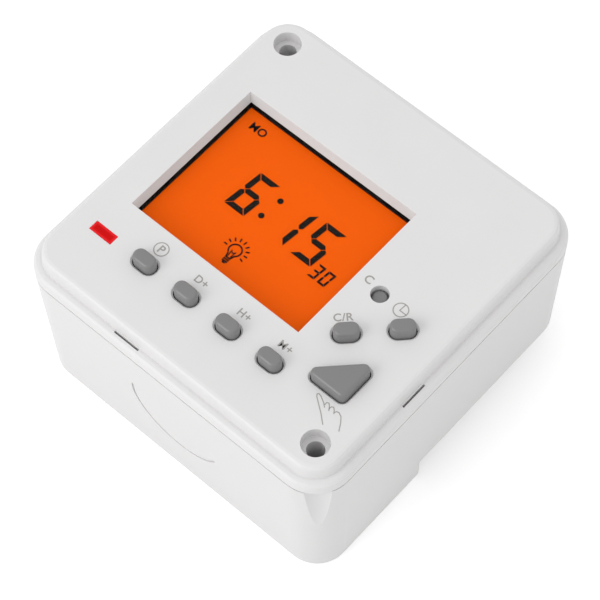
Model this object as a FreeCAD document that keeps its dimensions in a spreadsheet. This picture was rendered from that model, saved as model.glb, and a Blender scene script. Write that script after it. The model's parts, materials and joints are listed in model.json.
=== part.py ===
import FreeCAD, Part
import Sketcher
import math
import os

# Electronic DIN rail timer, lying on its back. All lengths are in millimetres.
# The origin is at the middle of the rear plane. +X runs along the display's lines, +Y up the face,
# and +Z out of the face. A front module with the display, the keys and the circuit lifts off a
# rear housing, which hooks on a 35 mm rail or is screwed to a wall through two opposite corners.

SIZES = [
    # Outline of the front
    ("width", "60"), ("depth", "32.4"), ("corner", "6.3"), ("flange_thickness", "2.1"),
    ("flange_edge", "1"), ("pad_inset", "1.7"), ("pad_rise", "2.6"), ("pad_corner", "4.7"),
    ("pad_draft", "6.6"), ("pad_edge", "0.8"), ("plate", "2"), ("pad_wall", "1.8"),
    # Fixing holes through two opposite corners
    ("fixing_inset", "5.86"), ("fixing_hole", "2.8"), ("counterbore", "4.4"),
    ("counterbore_depth", "2.2"), ("boss", "6.4"), ("boss_web", "1.2"),
    # Release slots at the foot of the pad
    ("slot_length", "4.8"), ("slot_width", "0.35"), ("slot_inset", "1.1"), ("slot_offset", "8.3"),
    ("notch_depth", "1.6"),
    # Display: the edges of its opening, in from the edges of the pad
    ("display_left", "5.74"), ("display_right", "17.77"), ("display_low", "15.84"),
    ("display_high", "14.4"), ("opening_draft", "12"), ("glass_margin", "1"), ("window", "0.8"),
    ("mask", "0.2"), ("mask_border", "0.25"), ("glass", "2"), ("backlight", "2.6"),
    ("frame_wall", "1"), ("contact_width", "1.2"), ("fit", "0.1"),
    # Keys: the row stands in from the pad's edges, the others in from its right edge
    ("row_inset", "9.65"), ("row_start", "14.3"), ("row_end", "17.7"), ("key_length", "4.8"),
    ("key_width", "3.3"), ("key_corner", "1.6"), ("key_gap", "0.3"), ("key_rise", "1.8"),
    ("key_edge", "0.5"), ("key_rim", "0.6"), ("key_rim_thickness", "0.8"), ("stem", "3"),
    ("stem_length", "0.4"), ("clear_inset", "12.4"), ("clear_foot", "20.2"), ("clock_inset", "6.6"),
    ("clock_foot", "26"), ("slant", "45"), ("reset_inset", "13"), ("reset_foot", "28.35"),
    ("reset_hole", "2.9"), ("reset_sink", "0.9"), ("manual_side", "4.9"), ("manual_foot", "10.9"),
    ("manual_leg", "7.4"), ("manual_corner", "1.3"), ("manual_stem", "2.8"),
    # Tact switches
    ("switch_width", "4.5"), ("switch_rise", "3.5"), ("plunger", "2.4"), ("play", "0.05"),
    ("plunger_length", "1.5"), ("key_travel", "0.3"), ("switch_floor", "0.1"),
    # Indicator
    ("lamp_side", "6.1"), ("lamp_foot", "9.45"), ("lamp_length", "4.2"), ("lamp_width", "1.7"),
    ("lamp_rim", "0.6"), ("lamp_stem", "1.9"), ("lamp_gap", "0.3"), ("lamp_shrink", "0.5"),
    # Boards
    ("board", "1.6"), ("board_gap", "1"), ("board_inset", "4.8"), ("notch_gap", "0.4"),
    ("post_side", "10.2"), ("post_inset", "1.7"), ("upper_row", "4.4"), ("post", "3.2"),
    ("post_screw", "1.6"), ("post_screw_head", "3"), ("post_screw_rise", "0.8"),
    ("post_screw_grip", "4"),
    # Module case
    ("case_gap", "0.4"), ("case_wall", "1.5"), ("case_lift", "0.8"), ("step_y", "-6"),
    ("leg_length", "4.6"), ("boss_gap", "0.25"), ("rib", "1.2"), ("rib_drop", "4"),
    ("terminal_margin", "0.64"), ("terminal_y", "-13"), ("terminal_back", "-17"),
    ("terminal_plate", "1"), ("terminal_gap", "0.3"), ("leg_width", "3"), ("leg_thickness", "0.8"),
    ("leg_y", "-9.3"), ("screw", "3.5"), ("screw_head", "6.4"), ("screw_head_rise", "2.2"),
    ("driver_slot", "0.8"), ("driver_depth", "1"), ("clamp", "0.8"), ("case_screw_inset", "6.8"),
    ("case_screw", "2.2"), ("case_screw_head", "4"), ("case_screw_head_rise", "1.6"),
    ("screw_recess", "1.6"), ("case_screw_grip", "2"), ("case_tube", "5.2"), ("shelf_width", "4"),
    # Circuit: where the tall components stand, and how far they stop above the floor of the well
    ("relay_x", "-6"), ("relay_y", "9.8"), ("relay_length", "28"), ("relay_width", "12.5"),
    ("relay_gap", "1.7"), ("film_x", "-8"), ("film_y", "-0.6"), ("film_length", "18"),
    ("film_width", "6.5"), ("film_gap", "0.7"), ("can_x", "15.5"), ("can_y", "1.5"),
    ("can_diameter", "8"), ("can_gap", "0.5"), ("disc_x", "15"), ("disc_y", "12"),
    ("disc_thickness", "4"), ("diode_width", "2.6"), ("diode_rise", "2.2"),
    ("diode_length", "4.4"), ("diode_inset", "3.7"), ("diode_pitch", "8"), ("chip_width", "7"),
    ("chip_rise", "1.4"), ("crystal", "2"), ("crystal_length", "6"), ("crystal_x", "8"),
    ("battery", "11"), ("battery_rise", "3.6"), ("battery_inset", "6.2"), ("battery_y", "9.5"),
    ("header_gap", "3"), ("header_width", "2.4"), ("header_inset", "2.6"),
    # Rear housing
    ("draft", "2.07"), ("wall", "1.8"), ("floor_top", "6.6"), ("back_edge", "0.5"),
    ("corner_cut", "3.2"), ("groove", "0.3"), ("groove_depth", "0.7"), ("rail_width", "35"),
    ("rail_play", "0.3"), ("rail_sink", "4.8"), ("rail_flange", "1"), ("rail_draft", "0.8"),
    ("hook_wall", "0.9"), ("hook_width", "8"), ("hook_offset", "12"), ("hook_lip", "1.2"),
    ("hook_gap", "0.15"), ("hook_root", "7"), ("core_width", "4.5"), ("core_gap", "2"),
    ("core_depth", "4"), ("core_inset", "5"), ("core_end", "2.8"), ("knockout_x", "1"),
    ("knockout_drop", "10.4"), ("knockout_radius", "8.5"), ("knockout_line", "0.5"),
    ("knockout_depth", "0.25"), ("knockout_start", "172"), ("knockout_end", "332"),
    ("scoop_radius", "3.2"), ("scoop_depth", "1.1"), ("scoop_tilt", "3.3"),
    # Rail latch
    ("latch_width", "14"), ("latch_neck", "10"), ("latch_inset", "6"), ("latch_nose", "1.2"),
    ("latch_slide", "1.5"), ("latch_play", "0.2"), ("latch_travel", "2"), ("latch_window", "3.4"),
    ("window_start", "4"), ("window_end", "4.8"), ("latch_post", "2.4"), ("post_length", "1.5"),
    ("pull_slot", "6"), ("pull_width", "1.4"), ("spring", "2.6"), ("spring_strip", "0.4"),
]


def make_sheet(document):
    """Writes every driving size into the spreadsheet, under its own alias."""
    sheet = document.addObject("Spreadsheet::Sheet", "Sizes")
    for row, (alias, size) in enumerate(SIZES, 1):
        sheet.set(f"A{row}", alias)
        sheet.set(f"B{row}", size)
        sheet.setAlias(f"B{row}", alias)
    document.recompute()
    return sheet


doc = FreeCAD.newDocument("Timer")
sheet = make_sheet(doc)
UP = FreeCAD.Vector(0, 0, 1)

# Levels along Z, worked out from the face inwards.
FACE = "Sizes.depth"
LEDGE = "(Sizes.depth - Sizes.pad_rise)"
SEAM = f"({LEDGE} - Sizes.flange_thickness)"
UNDER = "(Sizes.depth - Sizes.plate)"
GLASS_TOP = f"({UNDER} - Sizes.window - Sizes.mask)"
GLASS_LOW = f"({GLASS_TOP} - Sizes.glass)"
BOARD_TOP = f"({GLASS_LOW} - Sizes.backlight)"
BOARD_LOW = f"({BOARD_TOP} - Sizes.board)"
POWER_TOP = f"({BOARD_LOW} - Sizes.board_gap)"
POWER_LOW = f"({POWER_TOP} - Sizes.board)"
KEY_LOW = f"({UNDER} - Sizes.key_rim_thickness)"
PLUNGER_TOP = f"({KEY_LOW} - Sizes.stem_length)"
PLUNGER_LOW = f"({PLUNGER_TOP} - Sizes.plunger_length)"
SWITCH_TOP = f"({BOARD_TOP} + Sizes.switch_rise)"
CASE_FLOOR = "(Sizes.floor_top + Sizes.case_lift)"
WELL_FLOOR = f"({CASE_FLOOR} + Sizes.case_wall)"
STEP_FLOOR = f"({POWER_LOW} - Sizes.leg_length)"
STEP_TOP = f"({STEP_FLOOR} + Sizes.case_wall)"
SCREW_SEAT = f"({POWER_LOW} - Sizes.screw_recess)"
PLATE_LOW = f"({STEP_FLOOR} - Sizes.terminal_plate)"
CLAMP_LOW = f"({PLATE_LOW} - Sizes.clamp)"

# Distances from the middle, worked out from the outline inwards.
HALF = "(Sizes.width / 2)"
EDGE = f"({HALF} - Sizes.pad_inset)"
FIXING = f"({HALF} - Sizes.fixing_inset)"
SCREW = f"({HALF} - Sizes.case_screw_inset)"
NOTCH = f"({FIXING} - Sizes.boss / 2 - Sizes.boss_gap)"
BOARD = f"({HALF} - Sizes.board_inset)"
UPPER_ROW = f"({BOARD} - Sizes.upper_row)"
PITCH = f"(2 * ({FIXING} - Sizes.terminal_margin) / 5)"
TERMINAL = f"({PITCH} - Sizes.rib - 2 * Sizes.terminal_gap)"
CLAMP = f"({TERMINAL} - 2 * Sizes.terminal_gap)"
RAIL_HIGH = f"({HALF} - Sizes.hook_wall)"
RAIL_LOW = f"({RAIL_HIGH} - Sizes.rail_width - Sizes.rail_play)"
RAIL_LIP = "(Sizes.rail_sink - Sizes.rail_flange - Sizes.hook_gap)"
LATCH_BACK = f"(Sizes.latch_inset - {HALF})"
WINDOW_BACK = f"({LATCH_BACK} + Sizes.window_start)"
WINDOW_FRONT = f"({RAIL_LOW} - Sizes.window_end)"


def housing_half(level):
    """Half width of the rear housing's outside at a level."""
    return f"({HALF} - ({SEAM} - {level}) * tan(Sizes.draft))"


def case_half(level):
    """Half width of the module case's outside at a level."""
    return f"({housing_half(level)} - Sizes.wall - Sizes.case_gap)"


def corner_at(half):
    """Corner radius that keeps the centre of the flange's corner."""
    return f"(Sizes.corner - {HALF} + {half})"


def low_side(inset):
    """A distance in from the pad's left or lower edge."""
    return f"({inset} - {EDGE})"


def high_side(inset):
    """A distance in from the pad's right or upper edge."""
    return f"({EDGE} - {inset})"


OPENING = {
    "left": low_side("Sizes.display_left"), "right": high_side("Sizes.display_right"),
    "low": low_side("Sizes.display_low"), "high": high_side("Sizes.display_high"),
}
GLASS = {
    "left": f"({OPENING['left']} - Sizes.glass_margin)",
    "right": f"({OPENING['right']} + Sizes.glass_margin)",
    "low": f"({OPENING['low']} - Sizes.glass_margin)",
    "high": f"({OPENING['high']} + Sizes.glass_margin)",
}
LAMP = (low_side("Sizes.lamp_side"), low_side("Sizes.lamp_foot"))
FIXING_CORNERS = ((-1, 1), (1, -1))
SCREW_CORNERS = ((1, 1), (-1, -1))
POST = f"({BOARD} - Sizes.post_side)"
POSTS = ((POST, f"(Sizes.post_inset - {BOARD})"), (f"-{POST}", UPPER_ROW))
TERMINALS = range(-2, 3)
SPRING_FOLDS = 6
SMALL_SIDES = 12
LARGE_SIDES = 20

# Each key: where it stands, how it is turned and its outline.
ROW_START = low_side("Sizes.row_start")
ROW_PITCH = f"(({high_side('Sizes.row_end')} - {ROW_START}) / 3)"
ROW_Y = low_side("Sizes.row_inset")
KEYS = {
    "program": (ROW_START, ROW_Y, "0", "long"),
    "day": (f"({ROW_START} + {ROW_PITCH})", ROW_Y, "0", "long"),
    "hour": (f"({ROW_START} + 2 * {ROW_PITCH})", ROW_Y, "0", "long"),
    "minute": (f"({ROW_START} + 3 * {ROW_PITCH})", ROW_Y, "0", "long"),
    "clear": (high_side("Sizes.clear_inset"), low_side("Sizes.clear_foot"), "Sizes.slant", "long"),
    "clock": (high_side("Sizes.clock_inset"), low_side("Sizes.clock_foot"), "Sizes.slant", "long"),
    "reset": (high_side("Sizes.reset_inset"), low_side("Sizes.reset_foot"), "0", "round"),
    "manual": (high_side("Sizes.manual_side"), low_side("Sizes.manual_foot"), "0", "triangle"),
}


# Working tools -----------------------------------------------------------------------------

def value(expression):
    """The number that an expression gives now."""
    return float(sheet.evalExpression(str(expression)))


def place(thing, spot, turn="0", field="Placement"):
    """Binds where a thing lies, and its turn about its own Z, to expressions."""
    for axis, expression in zip("xyz", spot):
        thing.setExpression(f"{field}.Base.{axis}", expression)
    if turn != "0":
        thing.setExpression(f"{field}.Rotation.Angle", turn)


def new_body(name):
    return doc.addObject("PartDesign::Body", name)


def new_sketch(body, plane="XY", spot=("0", "0", "0"), turn="0"):
    """A sketch on one of the body's origin planes, shifted within and off that plane."""
    sketch = body.newObject("Sketcher::SketchObject", f"{body.Name}_sketch")
    support = next(item for item in body.Origin.OriginFeatures if item.Role == f"{plane}_Plane")
    sketch.AttachmentSupport = (support, [""])
    sketch.MapMode = "FlatFace"
    place(sketch, spot, turn, "AttachmentOffset")
    return sketch


def constrain(sketch, kind, *arguments, size=None):
    """Adds a constraint, bound to an expression where it has a size."""
    if size is None:
        sketch.addConstraint(Sketcher.Constraint(kind, *arguments))
        return
    index = sketch.addConstraint(Sketcher.Constraint(kind, *arguments, value(size)))
    sketch.setExpression(f"Constraints[{index}]", size)


def pin(sketch, geometry, point, spot):
    """Pins a point of the sketch by its distances from the sketch's origin."""
    constrain(sketch, "DistanceX", -1, 1, geometry, point, size=spot[0])
    constrain(sketch, "DistanceY", -1, 1, geometry, point, size=spot[1])


def draw_polygon(sketch, points):
    """A closed outline of straight lines through the points."""
    first = sketch.GeometryCount
    spots = [FreeCAD.Vector(value(x), value(y), 0) for x, y in points]
    for start, end in zip(spots, spots[1:] + spots[:1]):
        sketch.addGeometry(Part.LineSegment(start, end), False)
    for index, point in enumerate(points):
        before = first + (index - 1) % len(points)
        constrain(sketch, "Coincident", before, 2, first + index, 1)
        pin(sketch, first + index, 1, point)


def draw_circle(sketch, radius, spot=("0", "0")):
    centre = FreeCAD.Vector(value(spot[0]), value(spot[1]), 0)
    index = sketch.addGeometry(Part.Circle(centre, UP, value(radius)), False)
    pin(sketch, index, 3, spot)
    constrain(sketch, "Radius", index, size=radius)


def draw_rounded(sketch, centres, radius):
    """A closed outline of arcs about the centres, taken anticlockwise, and their tangents."""
    count = len(centres)
    first = sketch.GeometryCount
    reach = value(radius)
    spots = [FreeCAD.Vector(value(x), value(y), 0) for x, y in centres]
    sides = [end - start for start, end in zip(spots, spots[1:] + spots[:1])]
    angles = [math.atan2(-side.x, side.y) for side in sides]
    for index, spot in enumerate(spots):
        start = angles[index - 1]
        sweep = (angles[index] - start) % (2 * math.pi)
        sketch.addGeometry(Part.ArcOfCircle(Part.Circle(spot, UP, reach), start, start + sweep), False)
    for index, spot in enumerate(spots):
        out = FreeCAD.Vector(math.cos(angles[index]), math.sin(angles[index]), 0) * reach
        sketch.addGeometry(Part.LineSegment(spot + out, spots[(index + 1) % count] + out), False)
    for index, centre in enumerate(centres):
        line = first + count + index
        constrain(sketch, "Tangent", first + index, 2, line, 1)
        constrain(sketch, "Tangent", line, 2, first + (index + 1) % count, 1)
        pin(sketch, first + index, 3, centre)
    constrain(sketch, "Radius", first, size=radius)
    for index in range(1, count):
        constrain(sketch, "Equal", first, first + index)


def turned(points, spot, turn):
    """Points given from a reference point, turned about it and moved to it."""
    x, y = spot
    return [(f"({x} + ({u}) * cos({turn}) - ({v}) * sin({turn}))",
             f"({y} + ({u}) * sin({turn}) + ({v}) * cos({turn}))") for u, v in points]


def draw_box(sketch, half_x, half_y, radius, spot=("0", "0"), turn="0"):
    """A rectangle with rounded corners about a spot."""
    x = f"({half_x} - ({radius}))"
    y = f"({half_y} - ({radius}))"
    centres = [(f"-{x}", f"-{y}"), (x, f"-{y}"), (x, y), (f"-{x}", y)]
    draw_rounded(sketch, turned(centres, spot, turn), radius)


def draw_triangle(sketch, leg, radius, gap, spot):
    """A rounded right triangle with its right angle at a spot and its legs along -X and +Y."""
    near = f"({gap} + {radius})"
    far = f"({leg} - {gap} - {radius})"
    centres = [(f"-{near}", near), (f"-{near}", far), (f"-{far}", near)]
    draw_rounded(sketch, turned(centres, spot, "0"), radius)


def bevelled(half_x, half_y, cut):
    """The outline of a rectangle about the middle with its corners cut off."""
    x, y = f"({half_x} - {cut})", f"({half_y} - {cut})"
    return lambda sketch: draw_polygon(sketch, [
        (x, f"-{half_y}"), (half_x, f"-{y}"), (half_x, y), (x, half_y),
        (f"-{x}", half_y), (f"-{half_x}", y), (f"-{half_x}", f"-{y}"), (f"-{x}", f"-{half_y}")])


def octagon(half):
    """A square with its corners cut off, for hollows that don't show."""
    return bevelled(half, half, "Sizes.corner_cut")


def many_sided(radius, *spots):
    """Outlines of equal regular polygons, in place of circles that don't show."""
    def draw(sketch, spot):
        draw_polygon(sketch, [
            (f"{spot[0]} + ({radius}) * cos({angle})", f"{spot[1]} + ({radius}) * sin({angle})")
            for angle in range(0, 360, 360 // SMALL_SIDES)])
    return [lambda sketch, spot=spot: draw(sketch, spot) for spot in spots]


def squares(width, *spots):
    """Outlines of equal squares about spots."""
    return [rectangle(around(x, width), around(y, width)) for x, y in spots]


def circles(radius, *spots):
    """Outlines of equal circles."""
    return [lambda sketch, spot=spot: draw_circle(sketch, radius, spot) for spot in spots]


def rectangle(x, y):
    """The outline of a rectangle between pairs of expressions."""
    corners = [(x[0], y[0]), (x[1], y[0]), (x[1], y[1]), (x[0], y[1])]
    return lambda sketch: draw_polygon(sketch, corners)


def prism(body, kind, outlines, low, high, **options):
    """Pads or pockets outlines between two levels."""
    sketch = new_sketch(body, spot=("0", "0", low))
    for outline in outlines:
        outline(sketch)
    return extrude(body, kind, sketch, f"{high} - ({low})", back=kind == "Pocket", **options)


def round_over(body, outline, level, radius, steps):
    """Rounds off a top edge with a few tapering steps, up from a level. The outline takes an inset."""
    for step in range(steps):
        low = f"{radius} * sin({step} * 90 / {steps})"
        high = f"{radius} * sin({step + 1} * 90 / {steps})"
        inset = f"({radius} * (1 - cos({step} * 90 / {steps})))"
        prism(body, "Pad", [lambda sketch: outline(sketch, inset)], f"{level} + {low}",
              f"{level} + {high}", taper=f"-({step} + 0.5) * 90 / {steps}")


def extrude(body, kind, sketch, length, taper=None, back=False, both=False):
    """Pads or pockets a sketch, and stops if nothing changed."""
    before = body.Shape.Volume if body.Tip else 0
    feature = body.newObject(f"PartDesign::{kind}", f"{body.Name}_{kind}")
    feature.Profile = sketch
    feature.setExpression("Length", length)
    feature.Reversed = back
    feature.Midplane = both
    feature.Refine = False
    if taper:
        feature.setExpression("TaperAngle", taper)
    doc.recompute()
    check_change(body, feature, before)
    return feature


def check_change(body, feature, before):
    """A feature that adds or removes nothing is a mistake."""
    if abs(body.Shape.Volume - before) < 1e-6:
        raise ValueError(f"{feature.Name} changes nothing")


def primitive(body, kind, name, sizes, spot=("0", "0", "0"), turn="0"):
    """A primitive, in a body or on its own, with every size bound to an expression."""
    before = body.Shape.Volume if body and body.Tip else 0
    thing = body.newObject(kind, name) if body else doc.addObject(kind, name)
    for size, expression in sizes.items():
        thing.setExpression(size, expression)
    place(thing, spot, turn)
    if body:
        thing.Refine = False
        doc.recompute()
        check_change(body, thing, before)
    return thing


def block(name, x, y, z, body=None, add=True):
    """A box between pairs of expressions along X, Y and Z."""
    kind = "Part::Box"
    if body:
        kind = "PartDesign::AdditiveBox" if add else "PartDesign::SubtractiveBox"
    sizes = {
        size: f"({pair[1]}) - ({pair[0]})"
        for size, pair in zip(("Length", "Width", "Height"), (x, y, z))
    }
    return primitive(body, kind, name, sizes, (x[0], y[0], z[0]))


def stud(name, radius, spot, low, high, sides=SMALL_SIDES):
    """An upright rod or hole between two levels, many-sided in place of round."""
    sizes = {"Circumradius": radius, "Height": f"({high}) - ({low})"}
    thing = primitive(None, "Part::Prism", name, sizes, (spot[0], spot[1], low))
    thing.Polygon = sides
    return thing


def around(centre, width):
    """The pair of limits of a width about a centre."""
    return (f"({centre}) - ({width}) / 2", f"({centre}) + ({width}) / 2")


def chamfer(body, test, size):
    """Bevels the edges of the body that pass a test."""
    base = body.Tip
    names = [f"Edge{n}" for n, edge in enumerate(base.Shape.Edges, 1) if test(edge)]
    feature = body.newObject("PartDesign::Chamfer", f"{body.Name}_Chamfer")
    feature.Base = (base, names)
    feature.setExpression("Size", size)
    doc.recompute()
    check_change(body, feature, base.Shape.Volume)


def on_level(level):
    """A test for edges that lie flat at a level."""
    height = value(level)
    return lambda edge: all(abs(vertex.Z - height) < 1e-4 for vertex in edge.Vertexes)


def repeat_round(body, feature, count):
    """Repeats a feature about the Z axis."""
    before = body.Shape.Volume
    pattern = body.newObject("PartDesign::PolarPattern", f"{body.Name}_PolarPattern")
    pattern.Originals = [feature]
    axis = next(item for item in body.Origin.OriginFeatures if item.Role == "Z_Axis")
    pattern.Axis = (axis, [""])
    pattern.Angle = 360
    pattern.Occurrences = count
    body.Tip = pattern
    doc.recompute()
    check_change(body, pattern, before)


def mirror(body, feature):
    """Repeats a feature on the other side of the YZ plane."""
    before = body.Shape.Volume
    copy = body.newObject("PartDesign::Mirrored", f"{body.Name}_Mirrored")
    copy.Originals = [feature]
    plane = next(item for item in body.Origin.OriginFeatures if item.Role == "YZ_Plane")
    copy.MirrorPlane = (plane, [""])
    body.Tip = copy
    doc.recompute()
    check_change(body, copy, before)


def subtract(name, base, *tools):
    """One part cut by one or more others."""
    tool = tools[0] if len(tools) == 1 else join(f"{name}_tools", *tools)
    cut = doc.addObject("Part::Cut", name)
    cut.Base = base
    cut.Tool = tool
    return cut


def join(name, *pieces):
    fuse = doc.addObject("Part::MultiFuse", name)
    fuse.Shapes = list(pieces)
    return fuse


def group(name, pieces):
    """Separate identical pieces under one name."""
    compound = doc.addObject("Part::Compound", name)
    compound.Links = pieces
    return compound


def signed(sign, expression):
    return expression if sign > 0 else f"-({expression})"


def outward(sign, near, far):
    """The limits of a stretch from near to far on one side of zero."""
    return (near, far) if sign > 0 else (f"-({far})", f"-({near})")


# Front module ------------------------------------------------------------------------------

def front_bezel():
    """Flange, raised pad with its openings, fixing bosses and posts, in one moulding."""
    body = new_body("front_bezel")
    foot = f"({EDGE} + Sizes.pad_rise * tan(Sizes.pad_draft))"
    shoulder = f"({LEDGE} - Sizes.flange_edge)"
    brow = f"({FACE} - Sizes.pad_edge)"
    prism(body, "Pad", [square(HALF, "Sizes.corner")], SEAM, shoulder)
    round_over(body, square(HALF, "Sizes.corner"), shoulder, "Sizes.flange_edge", 3)
    prism(body, "Pad", [square(foot, "Sizes.pad_corner")], LEDGE, brow, taper="-Sizes.pad_draft")
    shrink = f"({foot} - ({brow} - {LEDGE}) * tan(Sizes.pad_draft))"
    top = square(shrink, f"(Sizes.pad_corner - {foot} + {shrink})")
    round_over(body, top, brow, "Sizes.pad_edge", 3)
    prism(body, "Pocket", [octagon(f"({EDGE} - Sizes.pad_wall)")], SEAM, UNDER)
    bezel_bosses(body)
    bezel_display_opening(body)
    bezel_key_holes(body)
    bezel_release_slots(body)
    return body


def square(half, radius):
    """The outline of a square with rounded corners, which can be drawn with an inset."""
    def draw(sketch, inset="0"):
        reach = f"({half} - {inset})"
        draw_box(sketch, reach, reach, f"({radius} - {inset})")
    return draw


def corner_spots(corners, offset):
    """Spots at the same offset from both axes, one in each of the corners."""
    return [(signed(sx, offset), signed(sy, offset)) for sx, sy in corners]


def bezel_bosses(body):
    """Bosses round the fixing holes and the case screws, and the posts for the display board."""
    fixings = corner_spots(FIXING_CORNERS, FIXING)
    screws = corner_spots(SCREW_CORNERS, SCREW)
    prism(body, "Pad", circles("Sizes.boss / 2", *fixings), SEAM, UNDER)
    prism(body, "Pad", squares("Sizes.case_tube", *screws), SEAM, UNDER)
    prism(body, "Pad", squares("Sizes.post", *POSTS), BOARD_TOP, UNDER)
    prism(body, "Pocket", circles("Sizes.fixing_hole / 2", *fixings), SEAM, FACE)
    prism(body, "Pocket", circles("Sizes.counterbore / 2", *fixings),
          f"{FACE} - Sizes.counterbore_depth", FACE)
    prism(body, "Pocket", many_sided("Sizes.case_screw / 2 + Sizes.play", *screws), SEAM,
          f"{SEAM} + Sizes.case_screw_grip + Sizes.fit")
    prism(body, "Pocket", many_sided("Sizes.post_screw / 2 + Sizes.play", *POSTS), BOARD_TOP,
          f"{BOARD_TOP} + Sizes.post_screw_grip")


def bezel_display_opening(body):
    """The display opening, with walls that lean in towards the window."""
    opening = new_sketch(body, spot=("0", "0", FACE))
    rectangle((OPENING["left"], OPENING["right"]), (OPENING["low"], OPENING["high"]))(opening)
    extrude(body, "Pocket", opening, "Sizes.plate", taper="-Sizes.opening_draft")


def key_outline(name, gap, placed=True):
    """The outline of a key's hole, or of the key where a gap is left, with an inset if wanted."""
    x, y, turn, shape = KEYS[name]
    spot = (x, y) if placed else ("0", "0")
    angle = turn if placed else "0"

    def draw(sketch, inset="0"):
        less = f"({gap} + {inset})"
        if shape == "long":
            draw_box(sketch, f"(Sizes.key_length / 2 - {less})", f"(Sizes.key_width / 2 - {less})",
                     f"(Sizes.key_corner - {less})", spot, angle)
        if shape == "round":
            draw_circle(sketch, f"(Sizes.reset_hole / 2 - {less})", spot)
        if shape == "triangle":
            draw_triangle(sketch, "Sizes.manual_leg", f"(Sizes.manual_corner - {less})", less, spot)

    return draw


def bezel_key_holes(body):
    """Holes for the eight keys and the window for the indicator."""
    lamp = rectangle(around(LAMP[0], "Sizes.lamp_length + 2 * Sizes.play"),
                     around(LAMP[1], "Sizes.lamp_width + 2 * Sizes.play"))
    holes = [key_outline(name, "0") for name in KEYS]
    prism(body, "Pocket", holes + [lamp], UNDER, FACE)


def bezel_release_slots(body):
    """One slot through the flange at the foot of each side of the pad."""
    slot = prism(body, "Pocket", [release_slot()], SEAM, f"{LEDGE} + Sizes.slot_width")
    repeat_round(body, slot, 4)


def release_slot():
    return rectangle(around("-Sizes.slot_offset", "Sizes.slot_length"),
                     around(f"Sizes.slot_inset - {HALF}", "Sizes.slot_width"))


def key_cap(name):
    """A key: the cap that shows, a rim behind the plate and the stem that meets the switch."""
    x, y, turn, shape = KEYS[name]
    body = new_body(f"button_{name}")
    rise = "(-Sizes.reset_sink)" if shape == "round" else "Sizes.key_rise"
    edge = "(Sizes.key_edge / 2)" if shape == "round" else "Sizes.key_edge"
    shoulder = f"{FACE} + {rise} - {edge}"
    prism(body, "Pad", [key_rim(name)], KEY_LOW, UNDER)
    cap = key_outline(name, "Sizes.key_gap", placed=False)
    prism(body, "Pad", [cap], UNDER, shoulder)
    round_over(body, cap, shoulder, edge, 2)
    prism(body, "Pad", squares("Sizes.stem", key_centre(shape)), PLUNGER_TOP, KEY_LOW)
    place(body, (x, y, "0"), turn)
    return body


def key_rim(name):
    """The outline of the rim that keeps a key behind the plate."""
    shape = KEYS[name][3]
    if shape == "long":
        return bevelled("(Sizes.key_length / 2 + Sizes.key_rim)",
                        "(Sizes.key_width / 2 + Sizes.key_rim)", "2 * Sizes.key_rim")
    if shape == "round":
        return squares("Sizes.reset_hole + 2 * Sizes.key_rim", ("0", "0"))[0]
    return key_outline(name, "(-Sizes.key_rim)", placed=False)


def key_centre(shape):
    """Where the switch stands under a key, from the key's own reference point."""
    if shape == "triangle":
        return ("-Sizes.manual_stem", "Sizes.manual_stem")
    return ("0", "0")


def plunger(name):
    """The plunger of the switch under a key."""
    x, y, turn, shape = KEYS[name]
    dx, dy = key_centre(shape)
    side = around("0", "Sizes.plunger")
    body = new_body(f"plunger_{name}")
    block(f"plunger_block_{name}", side, side, (PLUNGER_LOW, PLUNGER_TOP), body)
    place(body, (f"{x} + {dx}", f"{y} + {dy}", "0"), turn)
    return body


def tact_switches():
    """The switch bodies, each with the bore that its plunger runs in."""
    pieces = []
    for name, (x, y, turn, shape) in KEYS.items():
        width = "Sizes.switch_width"
        shell = block(f"switch_shell_{name}", around("0", width), around("0", width),
                      (BOARD_TOP, SWITCH_TOP))
        floor = f"{PLUNGER_LOW} - Sizes.key_travel - Sizes.switch_floor"
        side = around("0", "Sizes.plunger + 2 * Sizes.play")
        bore = block(f"switch_bore_{name}", side, side, (floor, SWITCH_TOP))
        switch = subtract(f"switch_{name}", shell, bore)
        dx, dy = key_centre(shape)
        place(switch, (f"{x} + {dx}", f"{y} + {dy}", "0"), turn)
        pieces.append(switch)
    return group("tact_switches", pieces)


def glass_plate(name, low, high):
    """A plate with the outline of the display's glass."""
    return block(name, (GLASS["left"], GLASS["right"]), (GLASS["low"], GLASS["high"]), (low, high))


def display_mask():
    """The printed border round the display's active area."""
    lean = "Sizes.plate * tan(Sizes.opening_draft)"
    sheet_piece = glass_plate("mask_sheet", GLASS_TOP, f"{GLASS_TOP} + Sizes.mask")
    x = (f"{OPENING['left']} + {lean} + Sizes.mask_border",
         f"{OPENING['right']} - {lean} - Sizes.mask_border")
    y = (f"{OPENING['low']} + {lean} + Sizes.mask_border",
         f"{OPENING['high']} - {lean} - Sizes.mask_border")
    active = block("mask_opening", x, y, (GLASS_TOP, f"{GLASS_TOP} + Sizes.mask"))
    return subtract("display_mask", sheet_piece, active)


def lcd_frame():
    """The frame that carries the window, the glass and the backlight on the board."""
    reach = "(Sizes.fit + Sizes.frame_wall)"
    outer = block("frame_outside", (f"{GLASS['left']} - {reach}", f"{GLASS['right']} + {reach}"),
                  (f"{GLASS['low']} - {reach}", f"{GLASS['high']} + {reach}"), (BOARD_TOP, UNDER))
    inner = block("frame_inside",
                  (f"{GLASS['left']} - Sizes.fit", f"{GLASS['right']} + Sizes.fit"),
                  (f"{GLASS['low']} - Sizes.fit", f"{GLASS['high']} + Sizes.fit"), (BOARD_TOP, UNDER))
    return subtract("lcd_frame", outer, inner)


def backlight():
    """The light guide under the glass, short of the contact strip."""
    y = (f"{GLASS['low']} + Sizes.contact_width + 2 * Sizes.fit", GLASS["high"])
    return block("backlight", (GLASS["left"], GLASS["right"]), y, (BOARD_TOP, GLASS_LOW))


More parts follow.
